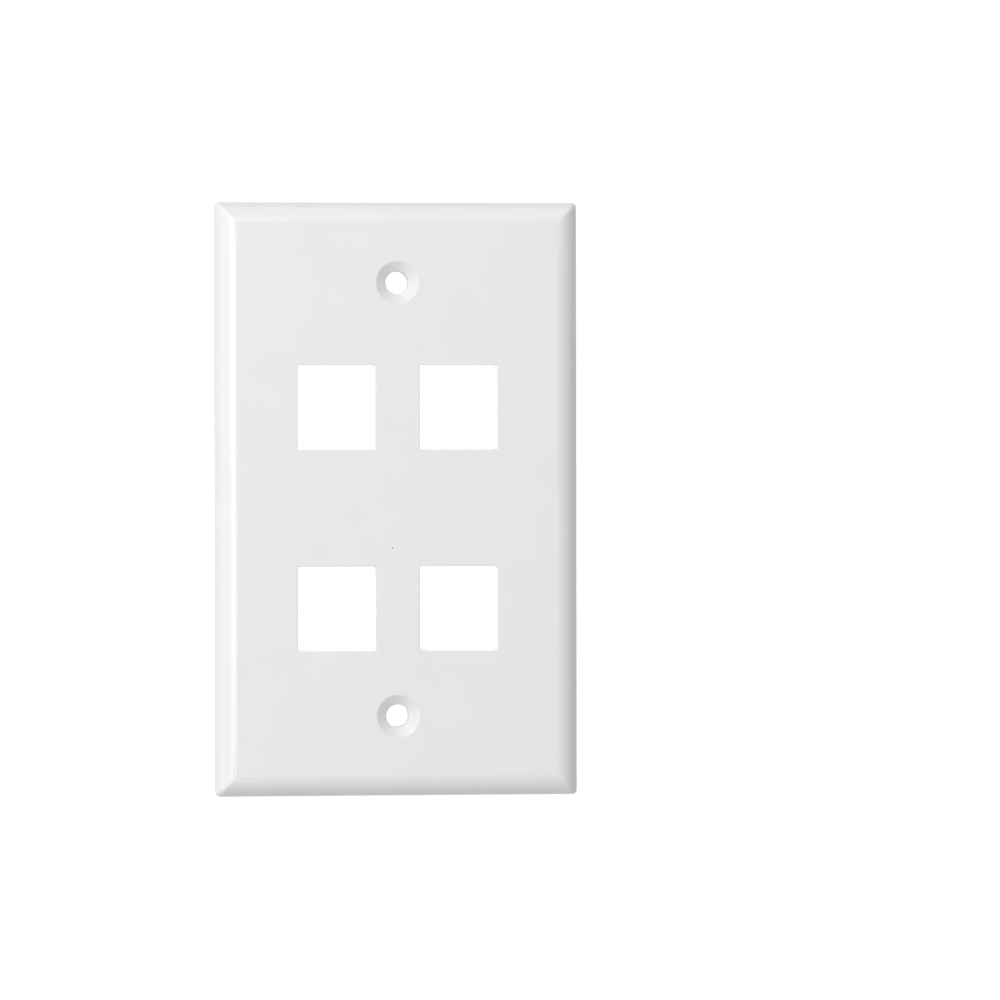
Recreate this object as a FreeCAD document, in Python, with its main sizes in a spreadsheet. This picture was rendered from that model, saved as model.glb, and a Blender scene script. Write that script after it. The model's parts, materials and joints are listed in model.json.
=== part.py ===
"""Four-port keystone faceplate: one injection moulding that covers a single-gang wall box.

The plate lies on its back. +Z points out of the front face and +Y is up once it is on the wall.
The origin is at the middle of the outline, at the level of the receptacle frames' rear ends.
"""
import FreeCAD, Part

import os
import re

import Sketcher

doc = FreeCAD.newDocument("keystone_faceplate")

# ---- Driving dimensions, in millimetres and degrees ----

SIZES = {
    # the plate: depths are measured back from the front face
    "plate_width": 69.85,
    "plate_height": 114.3,
    "rim_depth": 5.6,
    "front_wall": 2.2,
    "rim_wall": 1.6,
    "rim_land": 1.6,
    "bevel_run": 1.7,
    "shoulder_radius": 4.0,
    "corner_radius": 0.8,
    # the two mounting screws
    "screw_pitch": 83.34,
    "screw_hole": 4.4,
    "countersink_width": 8.2,
    "countersink_angle": 110.0,
    "boss_width": 9.2,
    "boss_depth": 5.1,
    # the four keystone ports
    "port_width": 14.9,
    "port_height": 16.2,
    "column_pitch": 23.5,
    "row_pitch": 38.7,
    "port_drop": 1.65,
    # the receptacle frame behind each port
    "frame_depth": 10.0,
    "frame_wall": 1.6,
    "latch_recess": 4.0,
    "latch_ledge": 4.0,
    "hook_recess": 2.0,
    "hook_ledge": 6.5,
    "catch_overhang": 2.0,
    "catch_height": 2.0,
    "lead_in": 0.8,
    "core_slot": 9.0,
    # stiffening ribs and ejector marks inside the shell
    "rib_wall": 1.2,
    "rib_height": 2.0,
    "ejector_width": 5.0,
    "ejector_mark": 0.2,
    "ejector_inset": 9.5,
}

sheet = doc.addObject("Spreadsheet::Sheet", "sizes")
for row, (alias, value) in enumerate(SIZES.items(), start=1):
    sheet.set(f"A{row}", alias)
    sheet.set(f"B{row}", str(value))
    sheet.setAlias(f"B{row}", alias)
doc.recompute()

# ---- Levels and places that several features share, as expressions of the sizes ----

FRONT = "frame_depth"
CEILING = "(frame_depth - front_wall)"
RIM = "(frame_depth - rim_depth)"
LEAN = "(bevel_run / (rim_depth - rim_land))"
COLUMN = "(-column_pitch / 2)"
ROW = "(row_pitch / 2 - port_drop)"
PORT_TOP = f"({ROW} + port_height / 2)"
PORT_BOTTOM = f"({ROW} - port_height / 2)"
RECESS_TOP = f"({PORT_TOP} + latch_recess)"
RECESS_BOTTOM = f"({PORT_BOTTOM} - hook_recess)"


def bound(text):
    """The expression with every alias written as a reference to the sheet."""
    return re.sub(r"[a-z_]{4,}", lambda word: f"sizes.{word[0]}" if word[0] in SIZES else word[0], text)


def bind(feature, prop, text):
    feature.setExpression(prop, bound(text))


# ---- Sketches and features of the one body ----

# Two heights or lengths closer than this are the same.
TOUCH = 1e-4

body = doc.addObject("PartDesign::Body", "faceplate")
body.Label = "faceplate"


def sketch(name, role, offset="0"):
    """An empty sketch on one of the body's origin planes, moved along the plane's normal."""
    made = body.newObject("Sketcher::SketchObject", name)
    made.AttachmentSupport = [(datum(role), "")]
    made.MapMode = "FlatFace"
    bind(made, ".AttachmentOffset.Base.z", f"{offset} * 1 mm")
    return made


def polygon(into, corners):
    """A closed outline whose corners are pairs of expressions, each held at its own coordinates."""
    points = [
        FreeCAD.Vector(*(float(sheet.evalExpression(bound(text))) for text in corner), 0)
        for corner in corners
    ]
    first = into.GeometryCount
    for index, start in enumerate(points):
        into.addGeometry(Part.LineSegment(start, points[(index + 1) % len(points)]))
    for index, corner in enumerate(corners):
        line = first + index
        before = first + (index - 1) % len(corners)
        into.addConstraint(Sketcher.Constraint("Coincident", before, 2, line, 1))
        for kind, text, value in zip(("DistanceX", "DistanceY"), corner, points[index]):
            held = into.addConstraint(Sketcher.Constraint(kind, line, 1, value))
            bind(into, f"Constraints[{held}]", text)


def rectangle(into, left, bottom, right, top):
    polygon(into, [(left, bottom), (right, bottom), (right, top), (left, top)])


def circle(into, width, x, y):
    """A circle of a given width, with its centre at a pair of expressions."""
    place = FreeCAD.Vector(*(float(sheet.evalExpression(bound(text))) for text in (x, y)), 0)
    ring = into.addGeometry(Part.Circle(place, FreeCAD.Vector(0, 0, 1), SIZES[width] / 2))
    for kind, text, value in (("DistanceX", x, place.x), ("DistanceY", y, place.y)):
        held = into.addConstraint(Sketcher.Constraint(kind, ring, 3, value))
        bind(into, f"Constraints[{held}]", text)
    held = into.addConstraint(Sketcher.Constraint("Diameter", ring, SIZES[width]))
    bind(into, f"Constraints[{held}]", width)


def feature(kind, name, profile, length=None, reverse=False, middle=False):
    """A pad or pocket of a sketch, with its length bound to an expression."""
    made = body.newObject(f"PartDesign::{kind}", name)
    made.Profile = profile
    if length:
        bind(made, "Length", length)
    made.Reversed = reverse
    made.Midplane = middle
    doc.recompute()
    return made


def level_edges(shape, level):
    """The names of the edges that lie at one height."""
    return [
        f"Edge{number}"
        for number, edge in enumerate(shape.Edges, start=1)
        if all(abs(vertex.Z - level) < TOUCH for vertex in edge.Vertexes)
    ]


def corner_edges(shape):
    """The names of the edges that climb over a corner: upright, or along a mitre at 45 degrees."""
    names = []
    for number, edge in enumerate(shape.Edges, start=1):
        start, end = (vertex.Point for vertex in edge.Vertexes)
        along_x, along_y, rise = abs(end.x - start.x), abs(end.y - start.y), abs(end.z - start.z)
        if rise > TOUCH and abs(along_x - along_y) < TOUCH:
            names.append(f"Edge{number}")
    return names


def dressed(kind, name, base, names):
    """A fillet or chamfer on the named edges of the feature before it."""
    made = body.newObject(f"PartDesign::{kind}", name)
    made.Base = (base, names)
    return made


def datum(role):
    """One of the body's own origin planes or axes."""
    return next(o for o in body.Origin.OriginFeatures if o.Role == role)


def row_of(name, role, spacing, originals=(), reverse=False):
    """Two places at a given spacing along one of the body's axes."""
    made = body.newObject("PartDesign::LinearPattern", name)
    made.Originals = list(originals)
    made.Direction = (datum(role), [""])
    made.Mode = "Spacing"
    made.Reversed = reverse
    made.Occurrences = 2
    bind(made, "Offset", spacing)
    return made


def mirror(name, role, originals=()):
    made = body.newObject("PartDesign::Mirrored", name)
    made.Originals = list(originals)
    made.MirrorPlane = (datum(role), [""])
    return made


def repeated(name, originals, steps):
    """Several features repeated together by two patterns or mirrors in turn."""
    made = body.newObject("PartDesign::MultiTransform", name)
    made.Originals = originals
    made.Transformations = steps
    return tip(made)


def tip(made):
    """A pattern counts in the body only once it is the body's tip."""
    body.Tip = made
    doc.recompute()
    return made


# The outside: a block whose front edges slope back to a short upright land at the rim.

outline = sketch("outline", "XY_Plane", RIM)
rectangle(outline, "-plate_width / 2", "-plate_height / 2", "plate_width / 2", "plate_height / 2")
block = feature("Pad", "block", outline, "rim_depth")

front_level = block.Shape.BoundBox.ZMax
bevel = dressed("Chamfer", "bevel", block, level_edges(block.Shape, front_level))
bevel.ChamferType = "Two distances"
bind(bevel, "Size", "rim_depth - rim_land")
bind(bevel, "Size2", "bevel_run")
doc.recompute()

shoulder = dressed("Fillet", "shoulder", bevel, level_edges(bevel.Shape, front_level))
bind(shoulder, "Radius", "shoulder_radius")
doc.recompute()

# The shoulders meet in mitres. They, the upright corners and the edge over the land share one radius.
land_level = block.Shape.BoundBox.ZMin + SIZES["rim_land"]
outer_edges = corner_edges(shoulder.Shape) + level_edges(shoulder.Shape, land_level)
corners = dressed("Fillet", "corners", shoulder, outer_edges)
bind(corners, "Radius", "corner_radius")
doc.recompute()

# The inside: one hollow whose walls lean like the bevel, so that the rim keeps its thickness.

hollow = sketch("hollow", "XY_Plane", RIM)
rectangle(
    hollow,
    "rim_wall - plate_width / 2",
    "rim_wall - plate_height / 2",
    "plate_width / 2 - rim_wall",
    "plate_height / 2 - rim_wall",
)
cavity = feature("Pocket", "cavity", hollow, "rim_depth - front_wall", reverse=True)
bind(cavity, "TaperAngle", f"-atan({LEAN})")
doc.recompute()

# Ribs: a spine between the screw bosses and a cross rib behind each row, let into the rim's walls.

RIB_REAR = f"({CEILING} - rib_height)"
spine_line = sketch("spine_line", "XY_Plane", RIB_REAR)
rectangle(spine_line, "-rib_wall / 2", "-screw_pitch / 2", "rib_wall / 2", "screw_pitch / 2")
spine = feature("Pad", "spine", spine_line, "rib_height")

rib_profile = sketch("rib_profile", "XZ_Plane", f"-{ROW}")
RIB_END = "(plate_width / 2 - rim_wall / 2)"
rear_reach = f"({RIB_END} - {LEAN} * (rim_depth - front_wall - rib_height))"
ceiling_reach = f"({RIB_END} - {LEAN} * (rim_depth - front_wall))"
polygon(
    rib_profile,
    [
        (f"-{rear_reach}", RIB_REAR),
        (rear_reach, RIB_REAR),
        (ceiling_reach, CEILING),
        (f"-{ceiling_reach}", CEILING),
    ],
)
cross_rib = feature("Pad", "cross_rib", rib_profile, "rib_wall", middle=True)
tip(row_of("cross_ribs", "Y_Axis", "row_pitch", [cross_rib], reverse=True))

# Screw bosses: a round post behind each countersunk hole.

post = sketch("post", "XY_Plane", "(frame_depth - boss_depth)")
circle(post, "boss_width", "0", "screw_pitch / 2")
boss = feature("Pad", "boss", post, "boss_depth - front_wall")

hole_centre = sketch("hole_centre", "XY_Plane", FRONT)
circle(hole_centre, "screw_hole", "0", "screw_pitch / 2")
screw_hole = feature("Hole", "screw_hole", hole_centre)
screw_hole.DepthType = "ThroughAll"
screw_hole.HoleCutType = "Countersink"
bind(screw_hole, "Diameter", "screw_hole")
bind(screw_hole, "HoleCutDiameter", "countersink_width")
bind(screw_hole, "HoleCutCountersinkAngle", "countersink_angle")
doc.recompute()
tip(mirror("screw_places", "XZ_Plane", [boss, screw_hole]))

# Shallow ejector marks in the hollow's ceiling, one in each corner.

mark = sketch("mark", "XY_Plane", CEILING)
circle(
    mark,
    "ejector_width",
    "plate_width / 2 - ejector_inset",
    "plate_height / 2 - ejector_inset",
)
ejector_mark = feature("Pocket", "ejector_mark", mark, "ejector_mark", reverse=True)
repeated(
    "ejector_marks",
    [ejector_mark],
    [mirror("mark_sides", "YZ_Plane"), mirror("mark_ends", "XZ_Plane")],
)

# Receptacle frame of the upper left port: a block, then the room for the jack cut out of it.

frame_outline = sketch("frame_outline", "XY_Plane")
rectangle(
    frame_outline,
    f"{COLUMN} - port_width / 2 - frame_wall",
    f"{RECESS_BOTTOM} - frame_wall",
    f"{COLUMN} + port_width / 2 + frame_wall",
    f"{RECESS_TOP} + frame_wall",
)
frame = feature("Pad", "frame", frame_outline, CEILING)

# Side view of the jack's room. The flexible latch snaps behind the upper ledge and the fixed hook
# sits behind the deeper lower one; a catch with a sloped lead-in closes each recess at the rear.
room_profile = sketch("room_profile", "YZ_Plane", COLUMN)
CATCH_TOP = f"({RECESS_TOP} - catch_overhang)"
CATCH_BOTTOM = f"({RECESS_BOTTOM} + catch_overhang)"
polygon(
    room_profile,
    [
        (PORT_TOP, FRONT),
        (PORT_TOP, f"{FRONT} - latch_ledge"),
        (RECESS_TOP, f"{FRONT} - latch_ledge"),
        (RECESS_TOP, "catch_height"),
        (CATCH_TOP, "catch_height"),
        (CATCH_TOP, "lead_in"),
        (f"{CATCH_TOP} + lead_in", "0"),
        (f"{CATCH_BOTTOM} - lead_in", "0"),
        (CATCH_BOTTOM, "lead_in"),
        (CATCH_BOTTOM, "catch_height"),
        (RECESS_BOTTOM, "catch_height"),
        (RECESS_BOTTOM, f"{FRONT} - hook_ledge"),
        (PORT_BOTTOM, f"{FRONT} - hook_ledge"),
        (PORT_BOTTOM, FRONT),
    ],
)
room = feature("Pocket", "room", room_profile, "port_width", middle=True)

# The mould's side cores shape the two recesses, and leave a slot through the frame's wall behind each.
SLOT_LEFT = f"({COLUMN} - core_slot / 2)"
SLOT_RIGHT = f"({COLUMN} + core_slot / 2)"
latch_core = sketch("latch_core", "XZ_Plane", f"-{RECESS_TOP}")
rectangle(latch_core, SLOT_LEFT, "catch_height", SLOT_RIGHT, f"{FRONT} - latch_ledge")
latch_slot = feature("Pocket", "latch_slot", latch_core, "frame_wall")

hook_core = sketch("hook_core", "XZ_Plane", f"-{RECESS_BOTTOM}")
rectangle(hook_core, SLOT_LEFT, "catch_height", SLOT_RIGHT, f"{FRONT} - hook_ledge")
hook_slot = feature("Pocket", "hook_slot", hook_core, "frame_wall", reverse=True)
repeated(
    "ports",
    [frame, room, latch_slot, hook_slot],
    [
        row_of("port_columns", "X_Axis", "column_pitch"),
        row_of("port_rows", "Y_Axis", "row_pitch", reverse=True),
    ],
)

# ---- Checks, then the file of the one piece ----

for item in doc.Objects:
    failed = {"Invalid", "Error"} & set(item.State)
    if failed:
        raise RuntimeError(f"{item.Name} is {failed}")

ADDING = ("PartDesign::Pad",)
CUTTING = ("PartDesign::Pocket", "PartDesign::Hole", "PartDesign::Chamfer", "PartDesign::Fillet")
for item in body.Group:
    base = getattr(item, "BaseFeature", None)
    if base is None:
        continue
    gained = item.Shape.Volume - base.Shape.Volume
    if item.TypeId in ADDING and gained <= 0 or item.TypeId in CUTTING and gained >= 0:
        raise RuntimeError(f"{item.Name} changes nothing")

if body.Shape.isNull() or not body.Shape.isValid() or len(body.Shape.Solids) != 1:
    raise RuntimeError("the faceplate isn't one valid solid")

os.makedirs("parts", exist_ok=True)
body.Shape.exportStep(f"parts/{body.Label}.step")
print(f"faceplate: {body.Shape.Volume / 1000:.2f} cm3")
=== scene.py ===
import json
import math

import bpy
from mathutils import Matrix, Vector


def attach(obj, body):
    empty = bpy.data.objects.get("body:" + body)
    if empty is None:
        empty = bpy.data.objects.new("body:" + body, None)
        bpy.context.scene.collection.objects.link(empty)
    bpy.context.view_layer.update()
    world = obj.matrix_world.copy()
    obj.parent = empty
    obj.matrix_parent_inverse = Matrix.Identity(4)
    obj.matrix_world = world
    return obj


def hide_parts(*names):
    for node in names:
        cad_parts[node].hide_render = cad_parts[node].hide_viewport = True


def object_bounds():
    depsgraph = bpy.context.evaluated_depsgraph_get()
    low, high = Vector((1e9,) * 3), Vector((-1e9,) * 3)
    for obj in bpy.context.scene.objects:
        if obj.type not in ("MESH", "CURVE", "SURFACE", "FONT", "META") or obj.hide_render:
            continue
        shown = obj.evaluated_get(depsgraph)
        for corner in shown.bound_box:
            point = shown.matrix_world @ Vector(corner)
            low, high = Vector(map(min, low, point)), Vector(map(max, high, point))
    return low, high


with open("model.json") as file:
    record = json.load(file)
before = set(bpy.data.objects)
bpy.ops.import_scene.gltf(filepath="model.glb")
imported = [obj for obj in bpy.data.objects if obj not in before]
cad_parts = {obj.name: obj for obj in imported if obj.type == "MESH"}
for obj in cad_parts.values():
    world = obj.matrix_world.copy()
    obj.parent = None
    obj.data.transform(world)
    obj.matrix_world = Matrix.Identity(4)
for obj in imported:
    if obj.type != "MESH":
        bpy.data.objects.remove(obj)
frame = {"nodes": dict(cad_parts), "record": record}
cad_box = [list(corner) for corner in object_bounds()]
low, high = (Vector(corner) for corner in cad_box)
bpy.ops.object.select_all(action="DESELECT")

# ---- The faceplate ----
# One injection moulding in white ABS: the bevelled plate, and behind it the receptacle frames, screw
# bosses and ribs. Two screws hold it to the wall box. The mould's cutter leaves every edge a hair
# round, and turns the screw holes true.

MM = 0.001
SAME_POINT = 0.002 * MM
TO_A_MICRON = 6  # decimal places of a metre
FLAT_WITHIN = math.radians(0.5)

moulded = frame["nodes"]["faceplate"]
plate = moulded.copy()
plate.data = moulded.data.copy()
plate.name = "moulded_plate"
plate.parent = None
bpy.context.scene.collection.objects.link(plate)
plate.select_set(True)
bpy.context.view_layer.objects.active = plate
bpy.ops.object.mode_set(mode="EDIT")
bpy.ops.mesh.select_all(action="SELECT")
bpy.ops.mesh.remove_doubles(threshold=SAME_POINT)

# Seams through the middle of each port and screw hole, so that flat faces divide squarely at them.
holes = next(mount for mount in frame["record"]["mounts"] if mount["name"] == "screw_holes")
screw_axes = [Vector((0, side * holes["dims"]["spacing_y_mm"] * MM / 2)) for side in (1, -1)]
openings = frame["record"]["physics"]["openings"]
port_boxes = [opening["box_m"] for opening in openings if "jack" in opening["holds"]]
port_middles = [(Vector(box[0]) + Vector(box[1])) / 2 for box in port_boxes]

for along in (Vector((1, 0, 0)), Vector((0, 1, 0))):
    middles = [Vector((*axis, 0)) for axis in screw_axes] + port_middles
    for distance in sorted({round(middle.dot(along), TO_A_MICRON) for middle in middles}):
        bpy.ops.mesh.select_all(action="SELECT")
        bpy.ops.mesh.bisect(plane_co=along * distance, plane_no=along)
        bpy.ops.mesh.mark_seam()
bpy.ops.mesh.select_all(action="SELECT")
bpy.ops.mesh.dissolve_limited(angle_limit=FLAT_WITHIN, delimit={"SEAM"})
bpy.ops.mesh.select_mode(type="EDGE")
bpy.ops.mesh.select_all(action="DESELECT")
bpy.ops.object.mode_set(mode="OBJECT")

# The rims of the screw holes, countersinks and bosses: their chords are divided, and the new points
# pushed out to the true circle.
BOSS_REACH = 5 * MM
PARTS_PER_CHORD = 4


def from_axis(point):
    """A point as its direction and distance from the nearer screw's axis, with that axis."""
    axis = min(screw_axes, key=lambda at: (point.xy - at).length)
    return (point.xy - axis).normalized(), (point.xy - axis).length, axis


rims = set()
for chord in plate.data.edges:
    start, end = (plate.data.vertices[index].co for index in chord.vertices)
    reach, far_reach = (from_axis(point)[1] for point in (start, end))
    chord.select = max(reach, far_reach) < BOSS_REACH and (
        abs(reach - far_reach) < SAME_POINT and abs(start.z - end.z) < SAME_POINT
    )
    if chord.select:
        rims.add((round(start.z, TO_A_MICRON), reach))
bpy.ops.object.mode_set(mode="EDIT")
bpy.ops.mesh.subdivide(number_cuts=PARTS_PER_CHORD - 1)
bpy.ops.object.mode_set(mode="OBJECT")
for point in (vertex.co for vertex in plate.data.vertices if vertex.select):
    outward, reach, axis = from_axis(point)
    here = [rim for level, rim in rims if level == round(point.z, TO_A_MICRON)]
    radius = min(rim for rim in here if rim > reach - SAME_POINT)
    point.xy = axis + outward * radius
bpy.ops.object.shade_smooth()

# The cutter's radius on every edge, and twice that round the mouths of the ports, where the jacks
# go in. An edge's bevel weight is its share of the wider radius.
EDGE_ROUND = 0.08 * MM
MOUTH_ROUND = 0.16 * MM
SHARP_FROM = math.radians(25)
WALL_REACH = 0.5 * MM


def in_port(point):
    """Whether a point lies in a port's opening or on its walls."""
    return any(
        all(lowest[i] - WALL_REACH < point[i] < highest[i] + WALL_REACH for i in range(3))
        for lowest, highest in port_boxes
    )


bpy.ops.object.mode_set(mode="EDIT")
bpy.ops.mesh.select_all(action="DESELECT")
bpy.ops.mesh.edges_select_sharp(sharpness=SHARP_FROM)
bpy.ops.object.mode_set(mode="OBJECT")
weights = plate.data.attributes.new("bevel_weight_edge", "FLOAT", "EDGE")
for edge in plate.data.edges:
    if edge.select:
        ends = [plate.data.vertices[index].co for index in edge.vertices]
        on_mouth = all(in_port(end) and high.z - end.z < SAME_POINT for end in ends)
        weights.data[edge.index].value = 1.0 if on_mouth else EDGE_ROUND / MOUTH_ROUND

rounding = plate.modifiers.new("edge_rounding", "BEVEL")
rounding.limit_method = "WEIGHT"
rounding.width = MOUTH_ROUND
rounding.segments = 2
rounding.use_clamp_overlap = True
shading = plate.modifiers.new("flat_faces_stay_flat", "WEIGHTED_NORMAL")
shading.keep_sharp = True
for modifier in ("edge_rounding", "flat_faces_stay_flat"):
    bpy.ops.object.modifier_apply(modifier=modifier)
plate.select_set(False)


def linear(hex_colour):
    """An sRGB hex colour as the linear red, green, blue and alpha that Blender's sockets take."""
    channels = [int(hex_colour[i : i + 2], 16) / 255 for i in (1, 3, 5)]
    return [c / 12.92 if c <= 0.04045 else ((c + 0.055) / 1.055) ** 2.4 for c in channels] + [1.0]


def node(tree, kind, inputs, **settings):
    """Adds a node with its settings; each input is linked to an output or takes a value."""
    made = tree.nodes.new(kind)
    for name, value in settings.items():
        setattr(made, name, value)
    for name, value in inputs.items():
        if isinstance(value, bpy.types.NodeSocket):
            tree.links.new(value, made.inputs[name])
        else:
            made.inputs[name].default_value = value
    return made


# White ABS, injection moulded: a neutral white with a soft sheen. The melt cools a little unevenly,
# which shows as very faint clouds, and a few scorched grains of resin show as grey specks.
ABS_WHITE = "#EEEEEE"
ABS_CLOUD = "#EAEAEA"
ABS_IOR = 1.54
CLOUD_SIZE = 9 * MM
SMEAR_SIZE = 14 * MM
SMEAR_DEPTH = 0.04
SPECK_GREY = "#8C8C8C"
SPECK_BLUR = 0.08 * MM
SPECKS = (
    # across, up, width, strength
    (-1.04 * MM, -9.30 * MM, 0.42 * MM, 0.80),
    (-27.70 * MM, 16.40 * MM, 0.34 * MM, 0.12),
    (-26.50 * MM, -23.25 * MM, 0.34 * MM, 0.12),
    (1.56 * MM, -6.80 * MM, 0.34 * MM, 0.12),
)
# A Mix node's colour sockets share their names with its others, so they go by number.
MIX_FROM, MIX_TO, MIXED = 6, 7, 2


def white_abs(name, roughness, grain_size, grain_height):
    """The plate's plastic, with the finish that one side of the mould gives it."""
    plastic = bpy.data.materials.new(name)
    plastic.use_nodes = True
    tree = plastic.node_tree
    place = node(tree, "ShaderNodeTexCoord", {}).outputs["Object"]
    clouds = node(tree, "ShaderNodeTexNoise", {"Vector": place, "Scale": 1 / CLOUD_SIZE, "Detail": 3.0})
    clouded = {0: clouds.outputs["Fac"], MIX_FROM: linear(ABS_WHITE), MIX_TO: linear(ABS_CLOUD)}
    colour = node(tree, "ShaderNodeMix", clouded, data_type="RGBA").outputs[MIXED]
    for across, up, width, strength in SPECKS:
        middle = (across, up, high.z)
        away = node(tree, "ShaderNodeVectorMath", {0: place, 1: middle}, operation="DISTANCE")
        rim = {"From Min": width / 2 - SPECK_BLUR, "From Max": width / 2}
        fade = {"Value": away.outputs["Value"], "To Min": strength, "To Max": 0.0, **rim}
        inside = node(tree, "ShaderNodeMapRange", fade)
        speck = {0: inside.outputs["Result"], MIX_FROM: colour, MIX_TO: linear(SPECK_GREY)}
        colour = node(tree, "ShaderNodeMix", speck, data_type="RGBA").outputs[MIXED]
    smears = node(tree, "ShaderNodeTexNoise", {"Vector": place, "Scale": 1 / SMEAR_SIZE, "Detail": 4.0})
    spread = {"To Min": roughness - SMEAR_DEPTH, "To Max": roughness + SMEAR_DEPTH}
    sheen = {"Value": smears.outputs["Fac"], **spread}
    grain = node(tree, "ShaderNodeTexNoise", {"Vector": place, "Scale": 1 / grain_size, "Detail": 2.0})
    relief = {"Height": grain.outputs["Fac"], "Distance": grain_height}
    shader = tree.nodes["Principled BSDF"]
    shader.inputs["IOR"].default_value = ABS_IOR
    tree.links.new(colour, shader.inputs["Base Color"])
    tree.links.new(node(tree, "ShaderNodeMapRange", sheen).outputs["Result"], shader.inputs["Roughness"])
    tree.links.new(node(tree, "ShaderNodeBump", relief).outputs["Normal"], shader.inputs["Normal"])
    return plastic


# The front is moulded against lightly blasted steel, which gives a satin face, and the back against a
# spark-eroded core, which leaves it duller. Both grains are drawn two to three times as coarse as the
# real ones, which are too fine to show. The ports' walls slide off polished inserts, so they shine.
FINISHES = (
    # name, roughness, grain size, grain height
    ("moulded_white_abs_satin", 0.34, 0.35 * MM, 0.003 * MM),
    ("moulded_white_abs_eroded", 0.55, 0.60 * MM, 0.050 * MM),
    ("moulded_white_abs_polished", 0.16, 0.50 * MM, 0.0001 * MM),
)
SATIN, ERODED, POLISHED = range(len(FINISHES))
SKIN = Vector((1.2, 1.2, 2.1)) * MM


def finish_at(centre):
    """Which of the finishes the mould gives to a face, by the place of its centre."""
    if in_port(centre):
        return POLISHED
    under_skin = abs(centre.x) < high.x - SKIN.x and abs(centre.y) < high.y - SKIN.y
    return ERODED if under_skin and centre.z < high.z - SKIN.z else SATIN


plate.data.materials.clear()
for finish in FINISHES:
    plate.data.materials.append(white_abs(*finish))
for face in plate.data.polygons:
    face.material_index = finish_at(face.center)

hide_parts("faceplate")
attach(plate, "root")

# ---- The table, the light and the camera ----
# The plate lies on its back on a white light table, so that hardly a shadow falls beside it or
# through its ports. One tall soft lamp stands up and to the left, and the room gives a little fill.

front_centre = Vector((0, 0, high.z))

# Opal glass, lit from below. Only the pane under the ports shows in reflections: it brightens the
# ports' polished walls, while the plate's outer flanks don't mirror the table.
OPAL_GREY = "#595959"
LIGHT_WHITE = "#FFFFFF"
PANE_PROUD = 0.05 * MM
TABLES = (
    # name, width, glow, depth below the plate, whether reflections show it
    ("light_table", 6.0, 0.95, PANE_PROUD, False),
    ("light_table_pane", 0.06, 1.15, 0.0, True),
)
for name, width, glow, depth, mirrored in TABLES:
    opal = bpy.data.materials.new(name + "_opal_glass")
    opal.use_nodes = True
    glass = opal.node_tree.nodes["Principled BSDF"].inputs
    glass["Base Color"].default_value = linear(OPAL_GREY)
    glass["Roughness"].default_value = 0.9
    glass["Emission Color"].default_value = linear(LIGHT_WHITE)
    glass["Emission Strength"].default_value = glow
    bpy.ops.mesh.primitive_plane_add(size=width, location=(0, 0, low.z - depth))
    table = bpy.context.object
    table.name = name
    table.visible_glossy = mirrored
    table.data.materials.append(opal)


def facing(back):
    """The turn that faces a lamp or camera away from a direction, with its top towards the plate's."""
    right = Vector((0, 1, 0)).cross(back).normalized()
    return Matrix((right, back.cross(right), back)).transposed()


LAMP_LEFT = math.radians(27)
LAMP_UP = math.radians(18)
LAMP_DISTANCE = 1.2
LAMP_WIDTH = 0.6
LAMP_HEIGHT = 1.3
LAMP_WATTS = 12.5

lamp = bpy.data.lights.new("window_lamp", "AREA")
lamp.shape = "RECTANGLE"
lamp.size = LAMP_WIDTH
lamp.size_y = LAMP_HEIGHT
lamp.energy = LAMP_WATTS
stand = bpy.data.objects.new("window_lamp", lamp)
towards_lamp = Vector((-math.tan(LAMP_LEFT), math.tan(LAMP_UP), 1)).normalized()
stand.location = front_centre + towards_lamp * LAMP_DISTANCE
stand.rotation_euler = facing(towards_lamp).to_euler()
bpy.context.scene.collection.objects.link(stand)

ROOM_GLOW = 0.35

room = bpy.data.worlds.new("pale_room")
room.use_nodes = True
fill = room.node_tree.nodes["Background"].inputs
fill["Color"].default_value = linear(LIGHT_WHITE)
fill["Strength"].default_value = ROOM_GLOW
bpy.context.scene.world = room

# The camera looks almost straight down, from a few degrees to the left and a hair above the middle.
CAMERA_LEFT = math.radians(4.18)
CAMERA_UP = math.radians(0.69)
CAMERA_DISTANCE = 1.0
AIM = Vector((0.01972, -0.00016, high.z))
TURN = math.radians(-0.09)
LENS = 187.4

camera = bpy.data.cameras.new("camera")
camera.lens = LENS
camera.sensor_width = 36
camera.clip_start = 0.01
viewpoint = bpy.data.objects.new("camera", camera)
towards = Vector((-math.sin(CAMERA_LEFT), math.sin(CAMERA_UP), 0))
towards.z = math.sqrt(1 - towards.length_squared)
viewpoint.location = front_centre + towards * CAMERA_DISTANCE
back = (viewpoint.location - AIM).normalized()
viewpoint.rotation_euler = (facing(back) @ Matrix.Rotation(TURN, 3, "Z")).to_euler()
bpy.context.scene.collection.objects.link(viewpoint)
bpy.context.scene.camera = viewpoint

bpy.context.scene.view_settings.view_transform = "Standard"
